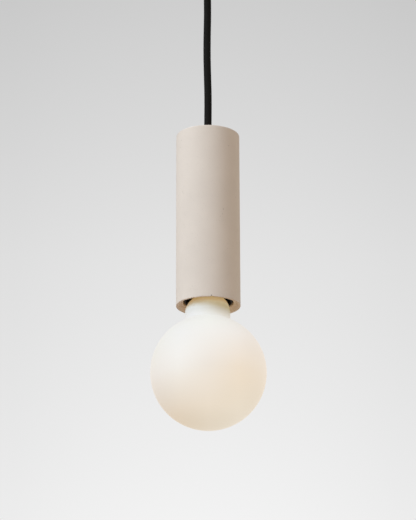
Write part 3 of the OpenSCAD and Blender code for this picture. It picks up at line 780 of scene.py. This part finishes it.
# darker, less shiny copy of the phenolic: painted shade on the skirt deep in the tube's mouth
SHADED_SKIRT = Moulded("black_skirt_shaded", (0.007, 0.006, 0.005), 0.5, 0.00002, 0.0, 0.12)
BLACK_NYLON = Moulded("black_nylon", (0.010, 0.0095, 0.009), 0.48, 0.00004, 0.0, 0.22)
WHITE_NYLON = Moulded("white_nylon", (0.70, 0.69, 0.64), 0.45, 0.00003)
RUBBER = Moulded("black_rubber", (0.02, 0.02, 0.02), 0.75, 0.00006)
BLACK_GLASS = Moulded("black_cap_glass", (0.010, 0.010, 0.012), 0.12, 0.00001, 0.5)
ZINC = Metal("zinc_steel", (0.60, 0.61, 0.63), 0.34)
BRASS = Metal("brass", (0.74, 0.55, 0.27), 0.30)
NICKEL = Metal("nickel_cap", (0.66, 0.64, 0.60), 0.24, 0.00001, 0.12)
CERAMIC = Porcelain("porcelain", (0.82, 0.80, 0.75), 0.55)
BROWN = Insulation("brown_insulation", (0.11, 0.045, 0.02), 0.35)
BLUE = Insulation("blue_insulation", (0.03, 0.10, 0.36), 0.35)
EARTH = Insulation("earth_insulation", (0.10, 0.26, 0.04), 0.35, (0.72, 0.62, 0.05))
OPAL = OpalGlass("opal_glass", (0.24, 0.31, 0.38), 0.6)
CLEAR = ClearGlass("clear_glass", (0.95, 0.97, 0.97), 0.03)
COATED = Phosphor("phosphor", (0.92, 0.62, 0.18), 0.6)
BOARD = CircuitBoard("circuit_board", (0.02, 0.12, 0.05), 0.4)
FLOOR = Plain("pale_floor", (0.90, 0.93, 0.97), 0.9)


class Wardrobe:
    """Makes each finish once and hands it to the pieces that wear it."""

    def __init__(self) -> None:
        """Starts with no material made."""
        self.made: dict[str, bpy.types.Material] = {}

    def get(self, finish: Finish) -> bpy.types.Material:
        """Gives the material of a finish, made on its first use.

        Args:
            finish: The finish.

        Returns:
            Its material.
        """
        if finish.name not in self.made:
            self.made[finish.name] = finish.build()
        return self.made[finish.name]

    def dress(self, piece: bpy.types.Object, finish: Finish) -> None:
        """Gives a piece one finish all over.

        Args:
            piece: The piece or CAD node.
            finish: Its finish.
        """
        material = self.get(finish)
        if not piece.material_slots:
            piece.data.materials.append(material)
        for place in piece.material_slots:
            place.material = material

    def dress_nodes(self, wear: dict[str, Finish]) -> None:
        """Gives CAD nodes their finishes.

        Args:
            wear: The finish of each node by name.
        """
        for name, finish in wear.items():
            self.dress(bpy.data.objects[name], finish)
            LOG.info("%s wears %s", name, finish.name)


# Modelling helpers -------------------------------------------------------------------------


def clear_selection() -> None:
    """Leaves edit mode and deselects everything."""
    if bpy.context.object and bpy.context.object.mode != "OBJECT":
        bpy.ops.object.mode_set(mode="OBJECT")
    bpy.ops.object.select_all(action="DESELECT")


def lathe(name: str, profile: Profile, steps: int, closed: bool = True) -> bpy.types.Object:
    """Draws a half outline point by point and spins it round the Z axis.

    Args:
        name: The piece's name.
        profile: The outline's points as (radius, height).
        steps: Segments of the full turn.
        closed: Whether the outline's ends are joined.

    Returns:
        The piece, smooth shaded, with its faces outwards.
    """
    clear_selection()
    r0, z0 = profile[0]
    bpy.ops.mesh.primitive_plane_add(size=MM, location=(0, 0, 0))
    piece = bpy.context.object
    piece.name = piece.data.name = name
    bpy.ops.object.mode_set(mode="EDIT")
    bpy.ops.mesh.select_mode(type="VERT")
    bpy.ops.mesh.select_all(action="SELECT")
    bpy.ops.mesh.merge(type="CENTER")
    bpy.ops.transform.translate(value=(r0, 0, z0))
    route = [*profile[1:], profile[0]] if closed else profile[1:]
    r, z = r0, z0
    for next_r, next_z in route:
        step = {"value": (next_r - r, 0, next_z - z)}
        bpy.ops.mesh.extrude_region_move(TRANSFORM_OT_translate=step)
        r, z = next_r, next_z
    bpy.ops.mesh.select_all(action="SELECT")
    bpy.ops.mesh.spin(steps=steps, angle=2 * math.pi, center=(0, 0, 0), axis=(0, 0, 1))
    bpy.ops.mesh.select_all(action="SELECT")
    bpy.ops.mesh.remove_doubles(threshold=1e-6)
    bpy.ops.mesh.normals_make_consistent(inside=False)
    bpy.ops.object.mode_set(mode="OBJECT")
    bpy.ops.object.shade_smooth()
    return piece


def arc(cr: float, cz: float, r: float, a0: float, a1: float, n: int) -> Profile:
    """Points of an arc about (cr, cz) from angle a0 to a1, in degrees, in n steps."""
    angles = [math.radians(a0 + (a1 - a0) * i / n) for i in range(n + 1)]
    return [(cr + r * math.cos(a), cz + r * math.sin(a)) for a in angles]


def move_points(piece: bpy.types.Object, shift: Callable[[np.ndarray], np.ndarray]) -> None:
    """Moves a mesh's points.

    Args:
        piece: The mesh piece.
        shift: Takes all points as rows and gives the moved ones.
    """
    mesh = piece.data
    points = np.empty(len(mesh.vertices) * 3)
    mesh.vertices.foreach_get("co", points)
    moved = shift(points.reshape(-1, 3))
    mesh.vertices.foreach_set("co", moved.reshape(-1))
    mesh.update()


def finish_piece(piece: bpy.types.Object, body: Body,
                 nodes: Sequence[str] = ()) -> bpy.types.Object:
    """Puts a piece on its body and hides the CAD nodes that it stands for.

    Args:
        piece: The finished piece.
        body: The body that it rides on.
        nodes: The CAD nodes that it replaces.

    Returns:
        The piece.
    """
    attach(piece, body.value)
    if nodes:
        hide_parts(*nodes)
    LOG.info("%s: %d faces on %s", piece.name, len(piece.data.polygons), body.value)
    return piece


# The cord ----------------------------------------------------------------------------------

CORD_LOW_Z = -0.2885
GRIP_MOUTH_Z = -0.044
CORD_BOWS = (
    (0.1, -136), (0.2, -126), (0.3, -116), (0.3, -108), (0.2, -100), (0, -92), (-0.2, -82),
    (-0.4, -72), (-0.4, -62), (-0.3, -52), (-0.1, -42), (0.1, -32), (0.1, -22), (0, -11), (0, 0))
CORD_ROUTE = [
    (0, CORD_LOW_Z), (0, CORD_LOW_Z + 0.014), (0, CORD_LOW_Z + 0.028),
    *((x * MM, GRIP_MOUTH_Z + z * MM) for x, z in CORD_BOWS),
]


@dataclass
class Cord:
    """The textile cord from its stop in the lampholder up into the grip's flared mouth.

    The braid stands `relief` proud. Each strand is rounded by `crown` across and dips by `dip`
    where it goes under another, and the cord's ends are drawn in by `draw` over `end`.
    """

    wardrobe: Wardrobe
    radius: float = 0.0032
    relief: float = 0.00016
    crown: float = 0.7
    dip: float = 0.45
    end: float = 0.0012
    draw: float = 0.25
    strands: int = 12
    pitch: float = 0.0021
    sides: int = 72
    rows: int = 732
    top: float = -0.0428

    def bow(self, z: np.ndarray) -> np.ndarray:
        """Sideways place of the cord's middle at the heights z."""
        heights = [p[1] for p in CORD_ROUTE]
        return np.interp(z, heights, [p[0] for p in CORD_ROUTE])

    def braid(self, points: np.ndarray, across: np.ndarray) -> np.ndarray:
        """Raises the crossing strands on the tube's wall, draws in its ends and bows it.

        Args:
            points: The plain tube's points.
            across: Is filled with each point's place across its strand, from 0 to 1.

        Returns:
            The moved points.
        """
        z = points[:, 2]
        turn = np.arctan2(points[:, 1], points[:, 0]) / (2 * math.pi) * self.strands
        rise = z / self.pitch
        one, two = turn + rise, turn - rise
        over = (np.floor(one) + np.floor(two)) % 2 == 0
        across[:] = np.where(over, one, two) % 1
        along = np.where(over, two, one) % 1
        height = (np.sin(math.pi * across) ** self.crown
                  * (1 - self.dip + self.dip * np.sin(math.pi * along)))
        within = np.clip(np.minimum(z - CORD_LOW_Z, self.top - z) / self.end, 0, 1)
        drawn = 1 - self.draw * (1 - within) ** 2
        scale = (self.radius - self.relief + self.relief * height) / self.radius * drawn
        moved = points.copy()
        moved[:, :2] *= scale[:, None]
        moved[:, 0] += self.bow(z)
        return moved

    def build(self) -> bpy.types.Object:
        """Models the braid as a fine tube whose points follow the crossing strands.

        Returns:
            The cord.
        """
        clear_selection()
        length = self.top - CORD_LOW_Z
        bpy.ops.mesh.primitive_cylinder_add(vertices=self.sides, radius=self.radius, depth=length,
                                            location=(0, 0, CORD_LOW_Z + length / 2),
                                            end_fill_type="NGON")
        piece = bpy.context.object
        piece.name = piece.data.name = "braided_cord"
        bpy.ops.object.transform_apply(location=True, rotation=True, scale=True)
        self.cut_rows(piece)
        across = np.zeros(len(piece.data.vertices))
        move_points(piece, lambda points: self.braid(points, across))
        layer = piece.data.attributes.new("strand", "FLOAT", "POINT")
        layer.data.foreach_set("value", across)
        clear_selection()
        piece.select_set(True)
        bpy.context.view_layer.objects.active = piece
        bpy.ops.object.shade_smooth()
        return piece

    def cut_rows(self, piece: bpy.types.Object) -> None:
        """Cuts the tube's long edges into 4, each of those into 3, and the 12 into all the rows.

        Args:
            piece: The plain tube.
        """
        for cuts in (3, 2, self.rows // 12 - 1):
            bpy.ops.object.mode_set(mode="EDIT")
            bpy.ops.mesh.select_mode(type="EDGE")
            bpy.ops.mesh.select_all(action="DESELECT")
            bpy.ops.object.mode_set(mode="OBJECT")
            points = piece.data.vertices
            for edge in piece.data.edges:
                a, b = (points[i].co for i in edge.vertices)
                edge.select = abs(a.z - b.z) > 1e-6
            bpy.ops.object.mode_set(mode="EDIT")
            bpy.ops.mesh.subdivide(number_cuts=cuts)
        bpy.ops.object.mode_set(mode="OBJECT")

    def dress(self) -> None:
        piece = self.build()
        self.wardrobe.dress(piece, BRAID)
        finish_piece(piece, Body.LAMP, ["cord"])
        self.wardrobe.dress_nodes({"cord_end": CLOTH, "cord_bend": CLOTH})


# The cast tube -----------------------------------------------------------------------------


@dataclass
class CastTube:
    """The stone tube, with its eased edges, faint unevenness and small knocks at the mouth.

    The wall wanders by `wave`, about `waves` times in a metre. Each knock has its turn in
    degrees, its size and its depth, and sits on the circle `chipped`, squashed in height.
    """

    wardrobe: Wardrobe
    hole_radius: float = 0.0053
    bore_radius: float = 0.0207
    roof: float = 0.012
    edge: float = 0.0008
    mouth_edge: float = 0.0004
    rim: float = 0.0006
    bevel: float = 0.003
    lip: float = 0.0012
    corner: float = 0.002
    sides: int = 256
    rows: int = 150
    wave: float = 0.00005
    waves: float = 45.0
    chipped: float = 0.0255
    squash: float = 0.8
    knocks: tuple[tuple[float, float, float], ...] = (
        (-83.0, 0.0013, 0.0011), (-20.0, 0.0008, 0.0004), (64.0, 0.0012, 0.0005),
        (150.0, 0.0009, 0.0005), (-140.0, 0.0007, 0.0004))

    def outline(self) -> Profile:
        """Half outline of the tube, down its outside and back up its bore.

        Returns:
            The outline as (radius, height).
        """
        low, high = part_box("stone_tube")
        r, top, mouth = high.x, high.z, low.z
        e, m, b = self.edge, self.mouth_edge, self.bore_radius
        side = [(r, top - e + (mouth + 2 * e - top) * i / self.rows) for i in range(1, self.rows)]
        rim = r - e - self.rim
        slope = math.degrees(math.atan2(self.bevel, rim - b))
        bore_low = mouth + self.bevel + self.lip * math.tan(math.radians((90 - slope) / 2))
        bore_high = top - self.roof - self.corner
        bevel = arc(b + self.lip, bore_low, self.lip, slope - 90, -180, 8)
        cone = [(rim + (bevel[0][0] - rim) * i / 8, mouth + (bevel[0][1] - mouth) * i / 8)
                for i in range(8)]
        bore = [(b, bore_low + (bore_high - bore_low) * i / 12) for i in range(1, 12)]
        return [
            (self.hole_radius, top), (r * 0.5, top), *arc(r - e, top - e, e, 90, 0, 5), *side,
            *arc(r - m, mouth + m, m, 0, -90, 5), *cone, *bevel, *bore,
            *arc(b - self.corner, bore_high, self.corner, 0, 90, 4),
            (self.hole_radius, top - self.roof),
        ]

    def knock(self, points: np.ndarray, low: float) -> np.ndarray:
        """Pushes small broken spots into the mouth's edge and waves the wall a little.

        Args:
            points: The tube's points.
            low: Height of the mouth.

        Returns:
            The moved points.
        """
        moved = points.copy()
        radius = np.hypot(points[:, 0], points[:, 1])
        outside = radius > self.bore_radius + self.lip
        for i in np.flatnonzero(outside):
            p = Vector(points[i])
            moved[i, :2] *= 1 + self.wave * noise.noise(p * self.waves) / radius[i]
        for turn, size, depth in self.knocks:
            a = math.radians(turn)
            centre = np.array([self.chipped * math.cos(a), self.chipped * math.sin(a), low])
            away = (points - centre) / np.array([1, 1, self.squash])
            far = np.linalg.norm(away, axis=1) / size
            push = depth * np.clip(1 - far ** 2, 0, 1)
            moved[:, 2] += push * (points[:, 2] < low + self.bevel)
        return moved

    def dress(self) -> None:
        """Builds the tube in place of its CAD node."""
        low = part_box("stone_tube")[0].z
        piece = lathe("cast_tube", self.outline(), self.sides)
        move_points(piece, lambda points: self.knock(points, low))
        bpy.ops.object.shade_smooth_by_angle(angle=CREASE)
        self.wardrobe.dress(piece, STONE)
        finish_piece(piece, Body.LAMP, ["stone_tube"])


# The bulb ----------------------------------------------------------------------------------


@dataclass
class GlobeBulb:
    """The opal globe with its straight neck and crowned shoulder, and what is inside it.

    The shoulder starts `shoulder` under the tube's mouth and curves in on an oval, `rise` high
    and ending at the radius `crown`, until it meets the collar. The neck is set over by
    `aside`, eased in by `ease`: heights over the mouth in mm, and shares.
    """

    wardrobe: Wardrobe
    radius: float = 0.0475
    neck: float = 0.0186
    shoulder: float = 0.0065
    rise: float = 0.0136
    crown: float = 0.0085
    collar: float = 0.0125
    wall: float = 0.001
    fillet: float = 0.003
    aside: float = 0.00055
    ease: tuple[tuple[float, float], ...] = (
        (-50, 0), (-38, 0.12), (-26, 0.6), (-14, 1), (-2, 1), (4, 0))
    sides: int = 192

    def half(self, inset: float, mouth: float, centre: float, top: float) -> Profile:
        """Half outline of the glass at a depth under its outer face.

        Args:
            inset: Depth under the outer face.
            mouth: Height of the tube's mouth.
            centre: Height of the globe's centre.
            top: Height of the glass's upper end.

        Returns:
            The outline, from the bottom up.
        """
        r, n = self.radius - inset, self.neck - inset
        run = self.neck - self.crown
        soft = self.fillet + inset
        high = math.sqrt((r + soft) ** 2 - (n + soft) ** 2)
        join = math.degrees(math.acos(high / (r + soft)))
        end = math.acos((self.collar - inset - (n - run)) / run)
        neck_line = [(n - run * (1 - math.cos(end * i / 20)),
                      mouth - self.shoulder + self.rise * math.sin(end * i / 20))
                     for i in range(21)]
        return [*arc(0, centre, r, -90, 90 - join, 80),
                *arc(n + soft, centre + high, soft, 270 - join, 180, 8)[1:], *neck_line,
                (self.collar - inset, top)]

    def offset(self, points: np.ndarray, mouth: float) -> np.ndarray:
        """Sets the neck a hair to one side of the globe, as blown glass is.

        Args:
            points: The glass's points.
            mouth: Height of the tube's mouth.

        Returns:
            The moved points.
        """
        moved = points.copy()
        heights, shares = zip(*self.ease)
        moved[:, 0] -= self.aside * np.interp((points[:, 2] - mouth) / MM, heights, shares)
        return moved

    def dress(self) -> None:
        """Builds the glass in place of its CAD node and finishes the rest of the bulb."""
        low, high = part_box("bulb_glass")
        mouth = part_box("stone_tube")[0].z
        centre = low.z + self.radius
        outer = self.half(0, mouth, centre, high.z)
        inner = self.half(self.wall, mouth, centre, high.z)
        piece = lathe("opal_globe", [*outer, *reversed(inner)], self.sides, closed=False)
        move_points(piece, lambda points: self.offset(points, mouth))
        bpy.ops.object.shade_smooth_by_angle(angle=CREASE)
        self.wardrobe.dress(piece, OPAL)
        finish_piece(piece, Body.BULB, ["bulb_glass"])
        self.wardrobe.dress_nodes({
            "bulb_cap": NICKEL, "bulb_cap_insulator": BLACK_GLASS, "bulb_tip": BRASS,
            "bulb_stem": CLEAR, "light_filaments": COATED, "filament_wires": ZINC,
            "driver_board": BOARD})


# The fittings ------------------------------------------------------------------------------


@dataclass
class Fittings:
    """The ceiling set, the hanging stem and the lampholder, kept as the CAD makes them."""

    wardrobe: Wardrobe

    def dress(self) -> None:
        """Gives each carried-over node its finish."""
        self.wardrobe.dress_nodes({
            "ceiling_bracket": ZINC, "canopy": BLACK_PAINT, "canopy_screws": BLACK_PAINT,
            "terminal_block": WHITE_NYLON, "terminal_inserts": BRASS, "terminal_screws": ZINC,
            "terminal_block_screws": ZINC, "earth_screw": BRASS, "earth_washer": ZINC,
            "earth_lead": EARTH, "upper_live_lead": BROWN, "upper_neutral_lead": BLUE,
            "cord_grip": BLACK_NYLON, "cord_grip_nut": ZINC, "cord_grip_screw": WHITE_NYLON,
            "top_bush": BLACK_NYLON, "rubber_washer": RUBBER, "steel_washer": ZINC,
            "stem_nut": ZINC, "hollow_stem": ZINC, "cord_stop": WHITE_NYLON,
            "cord_stop_screw": ZINC, "holder_lock_nut": ZINC, "holder_lock_screw": ZINC,
            "lampholder_cap": PHENOLIC, "lampholder_skirt": SHADED_SKIRT, "holder_insulator": CERAMIC,
            "screw_shell": BRASS, "shell_rivets": BRASS, "centre_contact": BRASS,
            "holder_terminals": BRASS, "holder_terminal_screws": ZINC,
            "lower_live_lead": BROWN, "lower_neutral_lead": BLUE})


# The studio --------------------------------------------------------------------------------


@dataclass(frozen=True)
class Lamp:
    """One soft box, aimed at a point."""

    name: str
    place: tuple[float, float, float]
    aim: tuple[float, float, float]
    size: tuple[float, float]
    power: float
    colour: Colour

    def build(self) -> None:
        """Makes the lamp and turns it to its aim."""
        light = bpy.data.lights.new(self.name, "AREA")
        light.shape = "RECTANGLE"
        light.size, light.size_y = self.size
        light.energy = self.power
        light.color = self.colour
        lamp = bpy.data.objects.new(self.name, light)
        bpy.context.scene.collection.objects.link(lamp)
        lamp.location = self.place
        lamp.visible_camera = False
        away = Vector(self.place) - Vector(self.aim)
        lamp.rotation_euler = away.to_track_quat("Z", "Y").to_euler()
        LOG.info("lamp %s: %.1f W", self.name, self.power)


LAMP_AIM = (0.0, 0.0, -0.30)


@dataclass
class Studio:
    """Camera, sky, floor and lamps: a cool key at upper left and a weak warm fill low at right.

    The backdrop's `grade` gives how light it is by height. `pool` is its strength in the middle
    and at the sides, which start where the sideways reach, squared, is `pool_end`.
    """

    wardrobe: Wardrobe
    camera_place: tuple[float, float, float] = (-0.00012, -1.8046, -0.93236)
    camera_pitch: float = 19.355
    camera_roll: float = -0.17
    camera_lens: float = 159.6
    floor_z: float = -3.2
    floor_size: float = 60.0
    grade: tuple[tuple[float, float], ...] = (
        (0.0, 0.90), (0.223, 0.865), (0.3305, 0.755), (0.435, 0.60), (1.0, 0.50))
    pool: tuple[float, float] = (1.03, 0.975)
    pool_end: float = 0.007
    ambient: Colour = (1.0, 0.905, 0.833)
    ambient_strength: float = 0.7425
    lamps: tuple[Lamp, ...] = (
        Lamp("key", (-1.548, -1.299, 0.435), LAMP_AIM, (1.1, 1.1), 33.0, (0.80, 0.917, 1.0)),
        Lamp("fill", (1.075, 0.0, -2.162), LAMP_AIM, (1.4, 1.4), 8.5, (0.95, 1.0, 0.735)))

    def camera(self) -> None:
        """Sets the camera, low and in front, looking up at the lamp."""
        data = bpy.data.cameras.new("camera")
        data.lens, data.sensor_width, data.sensor_fit = self.camera_lens, 36.0, "AUTO"
        data.clip_start, data.clip_end = 0.05, 60.0
        made = bpy.data.objects.new("camera", data)
        bpy.context.scene.collection.objects.link(made)
        tilt = Matrix.Rotation(math.radians(90 + self.camera_pitch), 4, "X")
        roll = Matrix.Rotation(math.radians(self.camera_roll), 4, "Z")
        made.matrix_world = Matrix.Translation(self.camera_place) @ tilt @ roll
        bpy.context.scene.camera = made

    def sky(self) -> None:
        """Sets a pale graded backdrop for the eye and a plain soft light for the object."""
        world = bpy.data.worlds.new("studio")
        bpy.context.scene.world = world
        world.use_nodes = True
        g = Graph(world.node_tree)
        axes = g.node("SeparateXYZ", {0: g.node("TexCoord").outputs["Generated"]}).outputs
        grade = g.bands(axes["Z"], [(at, (v, v, v)) for at, v in self.grade])
        pool = g.span(g.math("MULTIPLY", axes["X"], axes["X"]), 0, self.pool_end, *self.pool)
        seen = g.node("Background", {"Color": grade, "Strength": pool}).outputs[0]
        soft = g.node("Background", {"Color": self.ambient,
                                     "Strength": self.ambient_strength}).outputs[0]
        mixed = g.node("MixShader", {0: g.seen(), 1: soft, 2: seen}).outputs[0]
        g.node("OutputWorld", {"Surface": mixed})

    def floor(self) -> None:
        """Lays a wide pale floor far under the lamp."""
        clear_selection()
        bpy.ops.mesh.primitive_plane_add(size=self.floor_size, location=(0, 0, self.floor_z))
        made = bpy.context.object
        made.name = made.data.name = "floor"
        bpy.ops.object.transform_apply(location=True)
        self.wardrobe.dress(made, FLOOR)

    def build(self) -> None:
        """Sets the whole studio."""
        self.camera()
        self.sky()
        self.floor()
        for lamp in self.lamps:
            lamp.build()
        bpy.context.scene.view_settings.view_transform = "Standard"


def main() -> None:
    """Builds the lamp's pieces in order and sets the studio."""
    logging.basicConfig(level=logging.INFO, format="%(name)s: %(message)s")
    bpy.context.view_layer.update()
    wardrobe = Wardrobe()
    Studio(wardrobe).build()
    Cord(wardrobe).dress()
    CastTube(wardrobe).dress()
    GlobeBulb(wardrobe).dress()
    Fittings(wardrobe).dress()


if __name__ == "__main__":
    main()
